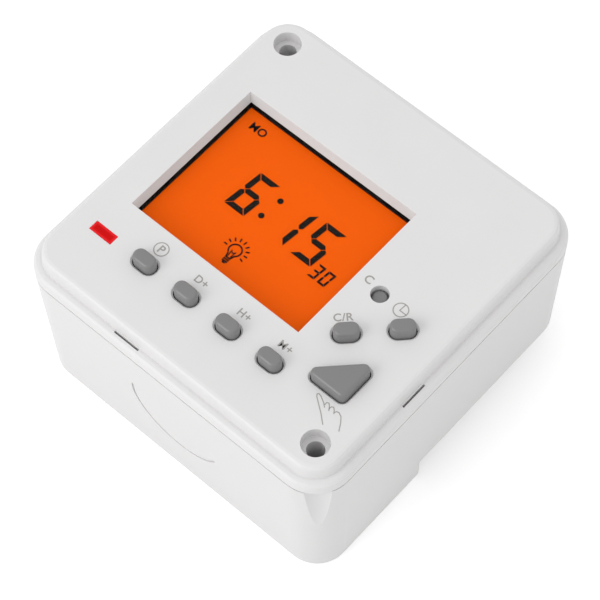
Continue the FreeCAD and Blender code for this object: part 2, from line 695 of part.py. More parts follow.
def contact_strip():
    """The elastomer strip from the board to the glass."""
    x = (f"{GLASS['left']} + Sizes.contact_width", f"{GLASS['right']} - Sizes.contact_width")
    y = (GLASS["low"], f"{GLASS['low']} + Sizes.contact_width")
    return block("contact_strip", x, y, (BOARD_TOP, GLASS_LOW))


def circuit_board(name, low, high, holes=()):
    """A square board, notched at its corners for the fixing bosses and the case screws."""
    body = new_body(name)
    side = (f"-{BOARD}", BOARD)
    prism(body, "Pad", [rectangle(side, side)], low, high)
    at_fixing = f"({NOTCH} - Sizes.case_wall - Sizes.notch_gap)"
    at_screw = f"({SCREW} - Sizes.case_tube / 2 - Sizes.notch_gap)"
    notches = [(corner, at_fixing) for corner in FIXING_CORNERS]
    notches += [(corner, at_screw) for corner in SCREW_CORNERS]
    corners = [rectangle(outward(sx, start, HALF), outward(sy, start, HALF))
               for (sx, sy), start in notches]
    prism(body, "Pocket", corners + list(holes), low, high)
    return body


def display_board():
    """The board under the display, with holes for the screws into the bezel's posts."""
    holes = many_sided("Sizes.post_screw / 2 + Sizes.play", *POSTS)
    return circuit_board("display_board", BOARD_LOW, BOARD_TOP, holes)


def board_screws():
    """Screws through the display board into the bezel's posts."""
    pieces = []
    for index, spot in enumerate(POSTS):
        tip = f"{BOARD_TOP} + Sizes.post_screw_grip - Sizes.fit"
        shank = stud(f"board_screw_shank_{index}", "Sizes.post_screw / 2", spot, BOARD_LOW, tip)
        head = stud(f"board_screw_head_{index}", "Sizes.post_screw_head / 2", spot,
                   f"{BOARD_LOW} - Sizes.post_screw_rise", BOARD_LOW)
        pieces.append(join(f"board_screw_{index}", shank, head))
    return group("board_screws", pieces)


def indicator_lens():
    """The red lens: its face flush with the pad, a rim behind the plate and a stem to the LED."""
    body = new_body("indicator_lens")
    x, y = LAMP
    rim = "2 * Sizes.lamp_rim"
    block("lens_face", around(x, "Sizes.lamp_length"), around(y, "Sizes.lamp_width"),
          (UNDER, FACE), body)
    block("lens_rim", around(x, f"Sizes.lamp_length + {rim}"), around(y, f"Sizes.lamp_width + {rim}"),
          (f"{UNDER} - Sizes.lamp_rim", UNDER), body)
    block("lens_stem", around(x, "Sizes.lamp_length - Sizes.lamp_shrink"),
          around(y, "Sizes.lamp_width - Sizes.lamp_shrink"),
          (f"{UNDER} - Sizes.lamp_rim - Sizes.lamp_stem", f"{UNDER} - Sizes.lamp_rim"), body)
    return body


def indicator_led():
    top = f"{UNDER} - Sizes.lamp_rim - Sizes.lamp_stem - Sizes.lamp_gap"
    return block("indicator_led", around(LAMP[0], "Sizes.lamp_length - Sizes.lamp_shrink"),
                 around(LAMP[1], "Sizes.lamp_width - Sizes.lamp_shrink"), (BOARD_TOP, top))


def lying_stud(name, radius, length, spot, axis, sides):
    """A many-sided rod about a centre, lying along X or Y."""
    piece = doc.addObject("Part::Prism", name)
    piece.setExpression("Circumradius", radius)
    piece.setExpression("Height", length)
    piece.Polygon = sides
    along_x = axis == "x"
    turn = FreeCAD.Vector(0, 1, 0) if along_x else FreeCAD.Vector(-1, 0, 0)
    piece.Placement.Rotation = FreeCAD.Rotation(turn, 90)
    start = f"{spot[0] if along_x else spot[1]} - {length} / 2"
    place(piece, (start, spot[1], spot[2]) if along_x else (spot[0], start, spot[2]))
    return piece


def display_circuit():
    """What stands on the front of the display board beside the display."""
    chip = block("controller_chip", around("0", "Sizes.chip_width"),
                 around(UPPER_ROW, "Sizes.chip_width"),
                 (BOARD_TOP, f"{BOARD_TOP} + Sizes.chip_rise"))
    spot = ("Sizes.crystal_x", UPPER_ROW, f"{BOARD_TOP} + Sizes.crystal / 2")
    crystal = lying_stud("crystal", "Sizes.crystal / 2", "Sizes.crystal_length", spot, "x", SMALL_SIDES)
    spot = (f"{BOARD} - Sizes.battery_inset", "Sizes.battery_y")
    battery = stud("backup_battery", "Sizes.battery / 2", spot,
                   BOARD_TOP, f"{BOARD_TOP} + Sizes.battery_rise", LARGE_SIDES)
    x = (f"Sizes.header_gap - {POST}", f"{POST} - Sizes.header_gap")
    y = around(f"{BOARD} - Sizes.header_inset", "Sizes.header_width")
    header = block("board_header", x, y, (POWER_TOP, BOARD_LOW))
    return [chip, crystal, battery, header]


def power_circuit():
    """What hangs from the power board."""
    relay = block("relay", around("Sizes.relay_x", "Sizes.relay_length"),
                  around("Sizes.relay_y", "Sizes.relay_width"),
                  (f"{WELL_FLOOR} + Sizes.relay_gap", POWER_LOW))
    film = block("film_capacitor", around("Sizes.film_x", "Sizes.film_length"),
                 around("Sizes.film_y", "Sizes.film_width"),
                 (f"{WELL_FLOOR} + Sizes.film_gap", POWER_LOW))
    can = stud("electrolytic_capacitor", "Sizes.can_diameter / 2", ("Sizes.can_x", "Sizes.can_y"),
               f"{WELL_FLOOR} + Sizes.can_gap", POWER_LOW, LARGE_SIDES)
    disc_radius = f"(({POWER_LOW} - {WELL_FLOOR} - Sizes.relay_gap) / 2)"
    spot = ("Sizes.disc_x", "Sizes.disc_y", f"{POWER_LOW} - {disc_radius}")
    disc = lying_stud("varistor", disc_radius, "Sizes.disc_thickness", spot, "y", LARGE_SIDES)
    y = around(f"Sizes.diode_inset - {BOARD}", "Sizes.diode_width")
    z = (f"{POWER_LOW} - Sizes.diode_rise", POWER_LOW)
    diodes = []
    for index in range(4):
        x = around(f"({index} - 1.5) * Sizes.diode_pitch", "Sizes.diode_length")
        diodes.append(block(f"diode_{index}", x, y, z))
    return [relay, film, can, disc, group("rectifier_diodes", diodes)]


# Module case and terminals -----------------------------------------------------------------

def terminal_x(number):
    return f"{number} * {PITCH}"


def module_case():
    """The module's rear shell: deep behind the circuit, stepped back over the terminals."""
    body = new_body("module_case")
    low = case_half(CASE_FLOOR)
    inside = f"({case_half(STEP_TOP)} - Sizes.case_wall)"
    deep = f"({low} - Sizes.case_wall)"
    prism(body, "Pad", [octagon(low)], CASE_FLOOR, SEAM, taper="Sizes.draft")
    step = rectangle((f"-{HALF}", HALF), (f"-{HALF}", "Sizes.step_y"))
    prism(body, "Pocket", [step], CASE_FLOOR, STEP_FLOOR)
    prism(body, "Pocket", [octagon(inside)], STEP_TOP, SEAM, taper="Sizes.draft")
    well = rectangle((f"-{deep}", deep), ("Sizes.step_y + Sizes.case_wall", deep))
    prism(body, "Pocket", [well], WELL_FLOOR, STEP_TOP)
    case_corners(body)
    case_terminal_bays(body)
    case_shelves(body)
    return body


def case_corners(body):
    """Notches that clear the housing's fixing bosses, and tubes for the case screws."""
    near = f"({NOTCH} - Sizes.case_wall)"
    for sx, sy in FIXING_CORNERS:
        low = CASE_FLOOR if sy > 0 else STEP_FLOOR
        far = f"({case_half(low)} - Sizes.case_wall)"
        prism(body, "Pad", [rectangle(outward(sx, near, far), outward(sy, near, far))], low, SEAM)
        notch = rectangle(outward(sx, NOTCH, HALF), outward(sy, NOTCH, HALF))
        prism(body, "Pocket", [notch], low, SEAM)
    for (sx, sy), spot in zip(SCREW_CORNERS, corner_spots(SCREW_CORNERS, SCREW)):
        low = CASE_FLOOR if sy > 0 else STEP_FLOOR
        prism(body, "Pad", squares("Sizes.case_tube", spot), low, SEAM)
        shank = many_sided("Sizes.case_screw / 2 + Sizes.play", spot)
        prism(body, "Pocket", shank, low, SEAM)
        head = many_sided("Sizes.case_screw_head / 2 + Sizes.play", spot)
        prism(body, "Pocket", head, low, SCREW_SEAT)


def case_terminal_bays(body):
    """Ribs between the terminals, and the holes for their legs."""
    run = (f"-({NOTCH} - Sizes.rib)", "Sizes.step_y")
    ribs = [rectangle(around(f"({number} - 2.5) * {PITCH}", "Sizes.rib"), run)
            for number in range(len(TERMINALS) + 1)]
    prism(body, "Pad", ribs, f"{STEP_FLOOR} - Sizes.rib_drop", STEP_FLOOR)
    legs = [rectangle(around(terminal_x(number), "Sizes.leg_width + 2 * Sizes.fit"),
                      around("Sizes.leg_y", "Sizes.leg_thickness + 2 * Sizes.fit"))
            for number in TERMINALS]
    prism(body, "Pocket", legs, STEP_FLOOR, STEP_TOP)


def case_shelves(body):
    """Ribs up the side walls that the power board rests on."""
    reach = f"({case_half(STEP_TOP)} - Sizes.case_wall / 2)"
    start = f"({BOARD} - Sizes.rib)"
    ribs = [rectangle(outward(side, start, reach), around(y, "Sizes.shelf_width"))
            for side in (-1, 1) for y in ("Sizes.terminal_y", "-Sizes.terminal_y")]
    prism(body, "Pad", ribs, STEP_TOP, POWER_LOW)


def case_screws():
    """Long screws from the back of the case into the bezel."""
    pieces = []
    for corner, spot in enumerate(corner_spots(SCREW_CORNERS, SCREW)):
        shank = stud(f"case_shank_{corner}", "Sizes.case_screw / 2", spot,
                     SCREW_SEAT, f"{SEAM} + Sizes.case_screw_grip")
        head = stud(f"case_head_{corner}", "Sizes.case_screw_head / 2", spot,
                    f"{SCREW_SEAT} - Sizes.case_screw_head_rise", SCREW_SEAT)
        pieces.append(join(f"case_screw_{corner}", shank, head))
    return group("case_screws", pieces)


def terminal_plates():
    """Plates behind the case with a leg up to the power board."""
    pieces = []
    for number in TERMINALS:
        x = terminal_x(number)
        front = "Sizes.leg_y + Sizes.leg_thickness / 2"
        plate = block(f"terminal_flat_{number + 2}", around(x, TERMINAL),
                      ("Sizes.terminal_back", front), (PLATE_LOW, STEP_FLOOR))
        leg = block(f"terminal_leg_{number + 2}", around(x, "Sizes.leg_width"),
                    around("Sizes.leg_y", "Sizes.leg_thickness"), (PLATE_LOW, POWER_LOW))
        hole = stud(f"terminal_hole_{number + 2}", "Sizes.screw / 2 + Sizes.play",
                    (x, "Sizes.terminal_y"), PLATE_LOW, STEP_FLOOR)
        bent = join(f"terminal_bent_{number + 2}", plate, leg)
        pieces.append(subtract(f"terminal_{number + 2}", bent, hole))
    return group("terminal_plates", pieces)


def wire_clamps():
    """Square washers that hold the wires against the terminal plates."""
    pieces = []
    for number in TERMINALS:
        x = terminal_x(number)
        plate = block(f"clamp_plate_{number + 2}", around(x, CLAMP),
                      around("Sizes.terminal_y", CLAMP), (CLAMP_LOW, PLATE_LOW))
        hole = stud(f"clamp_hole_{number + 2}", "Sizes.screw / 2 + Sizes.play",
                    (x, "Sizes.terminal_y"), CLAMP_LOW, PLATE_LOW)
        pieces.append(subtract(f"clamp_{number + 2}", plate, hole))
    return group("wire_clamps", pieces)


def terminal_screws():
    """Slotted screws through the clamps into the terminal plates."""
    pieces = []
    for number in TERMINALS:
        x = terminal_x(number)
        low = f"{CLAMP_LOW} - Sizes.screw_head_rise"
        head = stud(f"terminal_head_{number + 2}", "Sizes.screw_head / 2", (x, "Sizes.terminal_y"),
                    low, CLAMP_LOW)
        shank = stud(f"terminal_shank_{number + 2}", "Sizes.screw / 2", (x, "Sizes.terminal_y"),
                     CLAMP_LOW, STEP_FLOOR)
        slot = block(f"terminal_slot_{number + 2}", around(x, "Sizes.driver_slot"),
                     around("Sizes.terminal_y", "Sizes.screw_head + Sizes.fit"),
                     (low, f"{low} + Sizes.driver_depth"))
        whole = join(f"terminal_screw_blank_{number + 2}", head, shank)
        pieces.append(subtract(f"terminal_screw_{number + 2}", whole, slot))
    return group("terminal_screws", pieces)


# Rear housing ------------------------------------------------------------------------------

def rear_housing():
    """Drafted box that hooks on the rail and carries the module."""
    body = new_body("rear_housing")
    low = housing_half("0")
    prism(body, "Pad", [square(low, corner_at(low))], "0", SEAM, taper="Sizes.draft")
    chamfer(body, on_level("0"), "Sizes.back_edge")
    housing_inside(body)
    housing_rail_seat(body)
    housing_hooks(body)
    housing_latch_channel(body)
    housing_fixing_bosses(body)
    housing_corner_scoops(body)
    housing_knockout(body)
    return body


def housing_inside(body):
    """The hollow, the fine groove along the seam and the notches under the release slots."""
    inside = f"({housing_half('Sizes.floor_top')} - Sizes.wall)"
    prism(body, "Pocket", [octagon(inside)], "Sizes.floor_top", SEAM, taper="Sizes.draft")
    rim = f"({HALF} - Sizes.groove_depth)"
    outside = f"({HALF} + Sizes.wall)"
    prism(body, "Pocket", [square(outside, "Sizes.corner"), square(rim, corner_at(rim))],
          f"{SEAM} - Sizes.groove", SEAM)
    notch = prism(body, "Pocket", [release_slot()], f"{SEAM} - Sizes.notch_depth", SEAM)
    repeat_round(body, notch, 4)


def housing_rail_seat(body):
    """The recess for the rail, open at both sides and at the top, and cored blocks below it."""
    seat = new_sketch(body, "YZ")
    draw_polygon(seat, [
        (f"{RAIL_LOW} - Sizes.rail_draft", "0"), (HALF, "0"), (HALF, "Sizes.rail_sink"),
        (RAIL_LOW, "Sizes.rail_sink"), (RAIL_LOW, "Sizes.rail_draft")])
    extrude(body, "Pocket", seat, "Sizes.width", both=True)
    cores = []
    for side in (-1, 1):
        for number in range(2):
            near = (f"(Sizes.latch_width / 2 + (1 + {number}) * Sizes.core_gap"
                    f" + {number} * Sizes.core_width)")
            cores.append(rectangle(outward(side, near, f"{near} + Sizes.core_width"),
                                   (f"Sizes.core_inset - {HALF}", f"{RAIL_LOW} - Sizes.core_end")))
    prism(body, "Pocket", cores, "0", "Sizes.core_depth")


def housing_hooks(body):
    """Two hooks over the rail's upper edge."""
    hook = new_sketch(body, "YZ", spot=("0", "0", "Sizes.hook_offset"))
    inner = f"({RAIL_HIGH} - Sizes.hook_lip)"
    root = f"({RAIL_HIGH} - Sizes.hook_lip / 2)"
    top = f"(Sizes.hook_root + {HALF} - {root})"
    draw_polygon(hook, [
        (inner, "0"), (HALF, "0"), (HALF, "Sizes.hook_root"), (root, top),
        (root, "Sizes.rail_sink"), (RAIL_HIGH, "Sizes.rail_sink"), (RAIL_HIGH, RAIL_LIP),
        (inner, RAIL_LIP)])
    mirror(body, extrude(body, "Pad", hook, "Sizes.hook_width", both=True))


def housing_latch_channel(body):
    """The stepped channel for the rail latch, and the post that stops it."""
    wide = "(Sizes.latch_width / 2 + Sizes.latch_play)"
    neck = "(Sizes.latch_neck / 2 + Sizes.latch_play)"
    roof = f"({RAIL_LIP} + Sizes.latch_play)"
    back = f"({LATCH_BACK} - Sizes.latch_travel - Sizes.latch_play)"
    channel = new_sketch(body, "XZ", spot=("0", "0", f"-{RAIL_LOW}"))
    draw_polygon(channel, [
        (f"-{neck}", "0"), (neck, "0"), (neck, "Sizes.latch_slide"), (wide, "Sizes.latch_slide"),
        (wide, roof), (f"-{wide}", roof), (f"-{wide}", "Sizes.latch_slide"),
        (f"-{neck}", "Sizes.latch_slide")])
    extrude(body, "Pocket", channel, f"{RAIL_LOW} - {back}", back=True)
    start = f"({WINDOW_BACK} + Sizes.fit)"
    block("latch_post", around("0", "Sizes.latch_post"), (start, f"{start} + Sizes.post_length"),
          ("2 * Sizes.latch_play", "Sizes.floor_top"), body)


def housing_fixing_bosses(body):
    """Bosses that meet the bezel's, tied to both walls, with the holes through the housing."""
    spots = corner_spots(FIXING_CORNERS, FIXING)
    reach = f"({housing_half('Sizes.floor_top')} - Sizes.wall / 2)"
    prism(body, "Pad", circles("Sizes.boss / 2", *spots), "Sizes.floor_top", SEAM)
    for (sx, sy), spot in zip(FIXING_CORNERS, spots):
        along_x = rectangle(outward(sx, FIXING, reach), around(spot[1], "Sizes.boss_web"))
        along_y = rectangle(around(spot[0], "Sizes.boss_web"), outward(sy, FIXING, reach))
        prism(body, "Pad", [along_x], "Sizes.floor_top", SEAM)
        prism(body, "Pad", [along_y], "Sizes.floor_top", SEAM)
    prism(body, "Pocket", circles("Sizes.fixing_hole / 2", *spots), "0", SEAM)


def housing_corner_scoops(body):
    """A tongue-shaped relief under the flange at each corner that has a fixing hole."""
    axis_at = (f"(({HALF} - Sizes.corner) * sqrt(2) + Sizes.corner"
               f" + Sizes.scoop_radius - Sizes.scoop_depth)")
    for corner, (sx, sy) in enumerate(FIXING_CORNERS):
        spot = (signed(sx, f"{axis_at} / sqrt(2)"), signed(sy, f"{axis_at} / sqrt(2)"), SEAM)
        scoop = body.newObject("PartDesign::SubtractiveCylinder", f"scoop_{corner}")
        lean = FreeCAD.Vector(-sy, sx, 0)
        scoop.Placement.Rotation = FreeCAD.Rotation(lean, 180)
        scoop.setExpression("Radius", "Sizes.scoop_radius")
        scoop.setExpression("Height", SEAM)
        place(scoop, spot, "180 - Sizes.scoop_tilt")
        doc.recompute()


def housing_knockout(body):
    """The thin line round the knock-out for the cable, on the drafted lower wall."""
    level = f"({SEAM} - Sizes.knockout_drop)"
    sketch = new_sketch(body, "XZ", spot=("Sizes.knockout_x", level, housing_half(level)))
    sketch.AttachmentOffset = FreeCAD.Placement(
        sketch.AttachmentOffset.Base, FreeCAD.Rotation(FreeCAD.Vector(1, 0, 0), 1))
    sketch.setExpression("AttachmentOffset.Rotation.Angle", "Sizes.draft")
    draw_band(sketch, "Sizes.knockout_radius", "Sizes.knockout_line",
              "Sizes.knockout_start", "Sizes.knockout_end")
    extrude(body, "Pocket", sketch, "Sizes.knockout_depth")


def draw_band(sketch, radius, width, start, end):
    """A band along an arc about the sketch's origin, between two angles in degrees."""
    first = sketch.GeometryCount
    angles = [math.radians(value(start)), math.radians(value(end))]
    reaches = [f"({radius} - {width} / 2)", f"({radius} + {width} / 2)"]
    middle = FreeCAD.Vector(0, 0, 0)
    for reach in reaches:
        arc = Part.ArcOfCircle(Part.Circle(middle, UP, value(reach)), *angles)
        index = sketch.addGeometry(arc, False)
        constrain(sketch, "Coincident", index, 3, -1, 1)
        constrain(sketch, "Radius", index, size=reach)
    for point, angle, turn in ((1, angles[0], start), (2, angles[1], end)):
        way = FreeCAD.Vector(math.cos(angle), math.sin(angle), 0)
        line = sketch.addGeometry(Part.LineSegment(*[way * value(reach) for reach in reaches]), False)
        constrain(sketch, "Coincident", line, 1, first, point)
        constrain(sketch, "Coincident", line, 2, first + 1, point)
        constrain(sketch, "PointOnObject", -1, 1, line)
        index = sketch.addConstraint(Sketcher.Constraint("Angle", line, angle))
        sketch.setExpression(f"Constraints[{index}]", f"{turn} * 1 deg")


# Rail latch --------------------------------------------------------------------------------

def rail_latch():
    """The sliding latch under the rail's lower edge, with a slot to pull it by."""
    body = new_body("rail_latch")
    nose = f"({RAIL_LOW} + Sizes.latch_nose)"
    low = "Sizes.latch_play"
    step = "(Sizes.latch_slide + Sizes.latch_play)"
    block("latch_foot", around("0", "Sizes.latch_neck"), (LATCH_BACK, nose), (low, step), body)
    block("latch_plate", around("0", "Sizes.latch_width"), (LATCH_BACK, RAIL_LOW),
          (step, RAIL_LIP), body)
    block("latch_tongue", around("0", "Sizes.latch_neck"), (RAIL_LOW, nose),
          (step, RAIL_LIP), body)
    edge = [value(nose), value(low)]

    def ramp_edge(line):
        return all(abs(v.Y - edge[0]) < 1e-4 and abs(v.Z - edge[1]) < 1e-4 for v in line.Vertexes)

    chamfer(body, ramp_edge, "Sizes.latch_nose")
    block("latch_window", around("0", "Sizes.latch_window"), (WINDOW_BACK, WINDOW_FRONT),
          (low, RAIL_LIP), body, add=False)
    slot = (f"{LATCH_BACK} + Sizes.pull_width / 2", f"{LATCH_BACK} + 3 * Sizes.pull_width / 2")
    block("latch_pull", around("0", "Sizes.pull_slot"), slot, (low, RAIL_LIP), body, add=False)
    return body


def latch_spring():
    """A folded strip spring between the housing's post and the front of the latch's window."""
    start = f"({WINDOW_BACK} + 2 * Sizes.fit + Sizes.post_length)"
    end = f"({WINDOW_FRONT} - Sizes.fit)"
    pitch = f"(({end} - {start} - Sizes.spring_strip) / {SPRING_FOLDS})"
    levels = ("2 * Sizes.latch_play", f"{RAIL_LIP} - Sizes.latch_play")
    inner = "Sizes.spring / 2 - Sizes.spring_strip"
    pieces = []
    for fold in range(SPRING_FOLDS + 1):
        near = f"{start} + {fold} * {pitch}"
        far = f"{near} + Sizes.spring_strip"
        pieces.append(block(f"spring_bar_{fold}", around("0", "Sizes.spring"), (near, far), levels))
        if fold:
            side = 1 if fold % 2 else -1
            bend = outward(side, inner, "Sizes.spring / 2")
            pieces.append(block(f"spring_bend_{fold}", bend, (f"{near} - {pitch}", far), levels))
    return join("latch_spring", *pieces)


# Building and writing ------------------------------------------------------------------------

def build():
    """Builds every sub-part, in the order in which they are put together."""
    parts = [rear_housing(), rail_latch(), latch_spring(), module_case()]
    parts += [terminal_plates(), wire_clamps(), terminal_screws(), case_screws()]
    parts += [circuit_board("power_board", POWER_LOW, POWER_TOP)]
    parts += power_circuit()
    parts += [display_board(), board_screws()]
    parts += display_circuit()
    parts += [tact_switches(), indicator_led(), indicator_lens()]
    parts += [backlight(), contact_strip(), glass_plate("lcd_panel", GLASS_LOW, GLASS_TOP)]
    parts += [display_mask(), glass_plate("display_window", f"{GLASS_TOP} + Sizes.mask", UNDER)]
    parts += [lcd_frame(), front_bezel()]
    for name in KEYS:
        parts += [plunger(name), key_cap(name)]
    return parts


def check(parts):
    """Stops before anything is written if an object failed."""
    for item in doc.Objects:
        if "Invalid" in item.State or "Error" in item.State:
            raise ValueError(f"{item.Name} failed: {item.State}")
    for part in parts:
        if part.Shape.isNull() or not part.Shape.isValid() or not part.Shape.Solids:
            raise ValueError(f"{part.Name} has no valid solid")


def write(parts):
    """Writes one STEP file for each sub-part, named by its label."""
    os.makedirs("parts", exist_ok=True)
    for part in parts:
        part.Label = part.Name
        part.Shape.exportStep(f"parts/{part.Label}.step")


PARTS = build()
doc.recompute()
check(PARTS)
write(PARTS)
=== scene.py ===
import json
import math
from collections import namedtuple

import bmesh
import bpy
from mathutils import Matrix, Vector


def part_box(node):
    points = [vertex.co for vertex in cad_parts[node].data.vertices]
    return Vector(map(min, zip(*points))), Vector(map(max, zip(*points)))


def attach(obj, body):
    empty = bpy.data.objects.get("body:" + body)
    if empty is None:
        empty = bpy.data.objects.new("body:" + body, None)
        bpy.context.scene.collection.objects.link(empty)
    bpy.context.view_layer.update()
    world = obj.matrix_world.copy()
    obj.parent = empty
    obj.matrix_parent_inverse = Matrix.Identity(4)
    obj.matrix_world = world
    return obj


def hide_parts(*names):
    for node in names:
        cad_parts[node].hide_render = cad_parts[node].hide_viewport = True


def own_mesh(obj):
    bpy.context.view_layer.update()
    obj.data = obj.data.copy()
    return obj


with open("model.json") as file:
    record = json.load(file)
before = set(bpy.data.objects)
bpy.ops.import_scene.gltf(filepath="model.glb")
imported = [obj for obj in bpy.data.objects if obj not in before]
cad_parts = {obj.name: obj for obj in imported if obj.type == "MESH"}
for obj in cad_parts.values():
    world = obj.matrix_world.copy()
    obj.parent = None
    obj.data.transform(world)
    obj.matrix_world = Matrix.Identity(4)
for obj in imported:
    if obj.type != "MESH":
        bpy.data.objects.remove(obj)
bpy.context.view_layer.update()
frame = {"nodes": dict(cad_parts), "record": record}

MM = 0.001
nodes = frame["nodes"]


# Shader nodes --------------------------------------------------------------------------------

def feed(tree, socket, value):
    """Sets an input to a value, or links it to another node's output."""
    if isinstance(value, bpy.types.NodeSocket):
        tree.links.new(value, socket)
    else:
        socket.default_value = value


def calculated(tree, operation, *values):
    """The result of a calculation with values or outputs."""
    node = tree.nodes.new("ShaderNodeMath")
    node.operation = operation
    for socket, value in zip(node.inputs, values):
        feed(tree, socket, value)
    return node.outputs["Value"]


def mixed(tree, factor, first, second):
    """A colour between two others."""
    node = tree.nodes.new("ShaderNodeMix")
    node.data_type = "RGBA"
    node.clamp_factor = True
    for name, value in (("Factor", factor), ("A", first), ("B", second)):
        feed(tree, node.inputs[name], value)
    return node.outputs["Result"]


def noise(tree, scale, detail):
    """Noise that is fixed to the object."""
    place = tree.nodes.new("ShaderNodeTexCoord")
    node = tree.nodes.new("ShaderNodeTexNoise")
    node.inputs["Scale"].default_value = scale
    node.inputs["Detail"].default_value = detail
    tree.links.new(place.outputs["Object"], node.inputs["Vector"])
    return node.outputs["Fac"]


# Materials -----------------------------------------------------------------------------------

BROAD_GRAIN = 130
GRAIN_DEPTH = 0.05 * MM
SMOOTHEST = 0.02
SOFT_DEPTH = 0.8 * MM
SOFT_SPREAD = (0.6, 0.6, 0.6)


def linear(code):
    """A colour given as eight-bit sRGB, as the linear values that shaders take."""
    parts = [c / 255 for c in code]
    return tuple(c / 12.92 if c <= 0.04045 else ((c + 0.055) / 1.055) ** 2.4 for c in parts) + (1,)


def shaded(colour, factor):
    """A colour made lighter or darker by a factor."""
    return tuple(min(c * factor, 1) for c in colour[:3]) + (1,)


def finish(name, code, rough, grain=1800, bump=0.04, shift=0.02, metallic=0, spread=0.05,
           alpha=1, glow=0, soft=0, sheen=0.5):
    """A procedural finish: uneven colour, uneven roughness and a fine grain in the surface."""
    material = bpy.data.materials.new(name)
    material.use_nodes = True
    tree = material.node_tree
    inputs = tree.nodes["Principled BSDF"].inputs
    colour = linear(code)
    inputs["Base Color"].default_value = colour
    inputs["Roughness"].default_value = rough
    inputs["Metallic"].default_value = metallic
    inputs["Alpha"].default_value = alpha
    inputs["Specular IOR Level"].default_value = sheen
    if soft:
        inputs["Subsurface Weight"].default_value = soft
        inputs["Subsurface Radius"].default_value = SOFT_SPREAD
        inputs["Subsurface Scale"].default_value = SOFT_DEPTH
    if glow:
        inputs["Emission Color"].default_value = colour
        inputs["Emission Strength"].default_value = glow
    fine, broad = noise(tree, grain, 3), noise(tree, BROAD_GRAIN, 2)
    uneven = tree.nodes.new("ShaderNodeMapRange")
    uneven.inputs["To Min"].default_value = max(rough - spread, SMOOTHEST)
    uneven.inputs["To Max"].default_value = rough + spread
    tree.links.new(broad, uneven.inputs["Value"])
    tree.links.new(uneven.outputs["Result"], inputs["Roughness"])
    tint = mixed(tree, broad, shaded(colour, 1 - shift), shaded(colour, 1 + shift))
    tree.links.new(tint, inputs["Base Color"])
    relief = tree.nodes.new("ShaderNodeBump")
    relief.inputs["Strength"].default_value = bump
    relief.inputs["Distance"].default_value = GRAIN_DEPTH
    tree.links.new(fine, relief.inputs["Height"])
    tree.links.new(relief.outputs["Normal"], inputs["Normal"])
    return material


FINISHES = {
    "white_shell": dict(code=(222, 221, 221), rough=0.42, soft=0.08),
    # The housing's white is a shade darker than the bezel's: painted shade for its side walls.
    "case_shell": dict(code=(220, 219, 219), rough=0.42, soft=0.08),
    "key_grey": dict(code=(121, 120, 120), rough=0.36, grain=2600, bump=0.08, sheen=0.8),
    "latch_grey": dict(code=(120, 121, 122), rough=0.5, grain=2600, bump=0.08),
    "clear_window": dict(code=(20, 20, 20), rough=0.06, alpha=0.03, bump=0.01, spread=0.02),
    "mask_black": dict(code=(12, 12, 13), rough=0.35, shift=0.1),
    "lcd_orange": dict(code=(240, 92, 0), rough=0.5, glow=0.16, shift=0.015, bump=0.01, sheen=0.05),
    "frame_white": dict(code=(226, 226, 222), rough=0.5),
    "light_guide": dict(code=(232, 228, 214), rough=0.25),
    "contact_rubber": dict(code=(215, 150, 160), rough=0.7),
    "lamp_red": dict(code=(198, 2, 3), rough=0.3, glow=0.08, shift=0.12, sheen=0.1),
    "led_epoxy": dict(code=(200, 20, 20), rough=0.2),
    "board_green": dict(code=(26, 92, 52), rough=0.4, shift=0.12),
    "switch_black": dict(code=(22, 22, 24), rough=0.45, shift=0.1),
    "plunger_white": dict(code=(222, 220, 212), rough=0.45),
    "chip_black": dict(code=(24, 24, 26), rough=0.5, shift=0.1),
    "bright_metal": dict(code=(196, 196, 194), rough=0.3, metallic=1, shift=0.06),
    "relay_blue": dict(code=(28, 66, 140), rough=0.4, shift=0.05),
    "film_yellow": dict(code=(214, 168, 44), rough=0.4, shift=0.05),
    "can_sleeve": dict(code=(30, 34, 48), rough=0.35, shift=0.08),
    "disc_blue": dict(code=(40, 84, 150), rough=0.5, shift=0.06),
    "brass": dict(code=(196, 158, 84), rough=0.3, metallic=1, shift=0.06),
}
finishes = {name: finish(name, **spec) for name, spec in FINISHES.items()}
ink = finish("printed_ink", (158, 156, 152), 0.55, grain=3200, shift=0.05)
segment_ink = finish("display_segments", (30, 28, 24), 0.5, shift=0.05, sheen=0.05)


# The lit lamp and the imported nodes -----------------------------------------------------------

# The lens is painted lighter towards its edges: a painted glow, not the colour of its plastic.
LENS_RIM = Vector((0.6, 0.6, 0)) * MM
LENS_GLOW_COLOUR = (236, 40, 48)
LENS_GLOW_WIDTH = 0.5 * MM


def painted_edge_glow(material, low, high, code, width):
    """Paints a lighter colour at the edges of a clear moulding: a painted glow for the light it guides to
    its faces.
    """
    tree = material.node_tree
    place = tree.nodes.new("ShaderNodeTexCoord")
    split = tree.nodes.new("ShaderNodeSeparateXYZ")
    tree.links.new(place.outputs["Object"], split.inputs["Vector"])
    nearest = None
    for axis, start, end in zip("XY", low, high):
        for edge, sign in ((start, 1), (end, -1)):
            gap = calculated(tree, "MULTIPLY_ADD", split.outputs[axis], sign / width, -sign * edge / width)
            nearest = calculated(tree, "MINIMUM", nearest, gap) if nearest else gap
    base = tree.nodes["Principled BSDF"].inputs["Base Color"]
    tree.links.new(mixed(tree, nearest, linear(code), base.links[0].from_socket), base)


lens_low, lens_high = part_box("indicator_lens")
painted_edge_glow(finishes["lamp_red"], lens_low + LENS_RIM, lens_high - LENS_RIM, LENS_GLOW_COLOUR,
          LENS_GLOW_WIDTH)

SLOTS = {entry["node"]: entry["slot"] for entry in frame["record"]["materials"] if "node" in entry}


def slot_of(name):
    """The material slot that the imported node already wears."""
    if name in SLOTS:
        return SLOTS[name]
    return nodes[name].data.materials[0].name.split(".")[0]


for name, thing in nodes.items():
    worn = finishes[slot_of(name)]
    for index in range(len(thing.data.materials)):
        thing.data.materials[index] = worn
nodes["lcd_panel"].visible_diffuse = False


# Outlines, in millimetres --------------------------------------------------------------------

SHARPEST = 0.4


